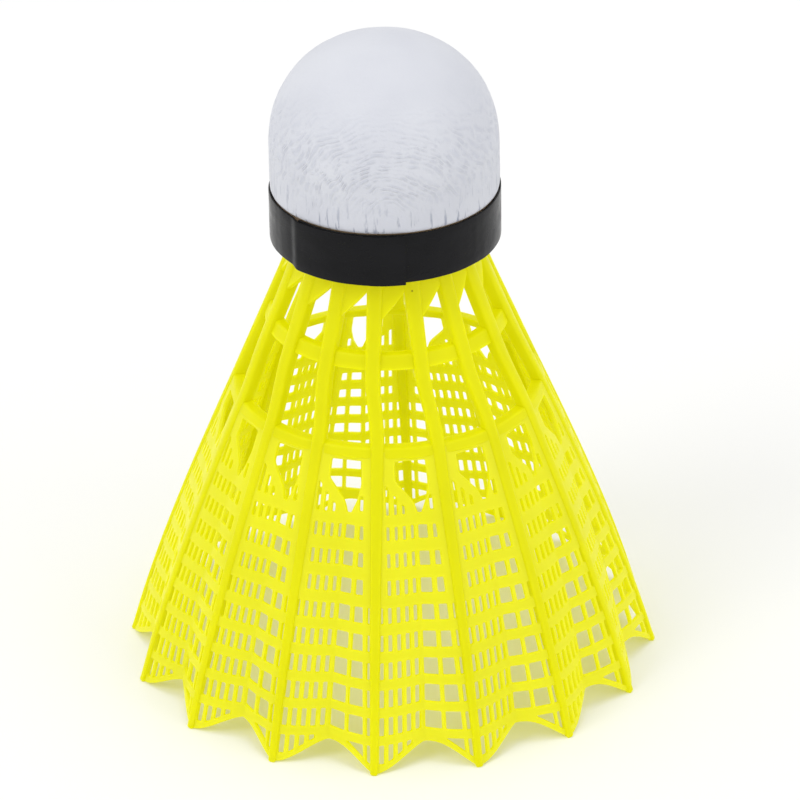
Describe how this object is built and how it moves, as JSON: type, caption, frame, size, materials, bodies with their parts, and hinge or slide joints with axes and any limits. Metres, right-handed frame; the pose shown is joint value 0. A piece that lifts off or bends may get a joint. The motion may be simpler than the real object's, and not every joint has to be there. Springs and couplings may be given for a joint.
{
  "type": "badminton shuttlecock",
  "caption": "Nylon-skirted badminton shuttlecock: rounded skinned cork head with a tape band, over a flared, ribbed and pleated skirt with hoops and a scalloped edge.",
  "frame": {"origin": "centre of the circle through the skirt's tips, on the surface that the tips stand on", "axes": "+Z along the shuttlecock's axis, from the skirt's mouth to the nose; -Y through one of the 16 ribs"},
  "size_m": [0.063, 0.063, 0.0781],
  "materials": {
    "cover_skin": "white leathercloth with fine wrinkles, satin",
    "cork": "fine-grained natural cork, matte",
    "tape": "black film tape, glossy",
    "nylon": "fluorescent yellow nylon, semi-gloss and slightly translucent"
  },
  "bodies": {
    "root": {"head_cover": "cover_skin", "cork_core": "cork", "band_tape": "tape", "skirt": "nylon"}
  },
  "joints": []
}
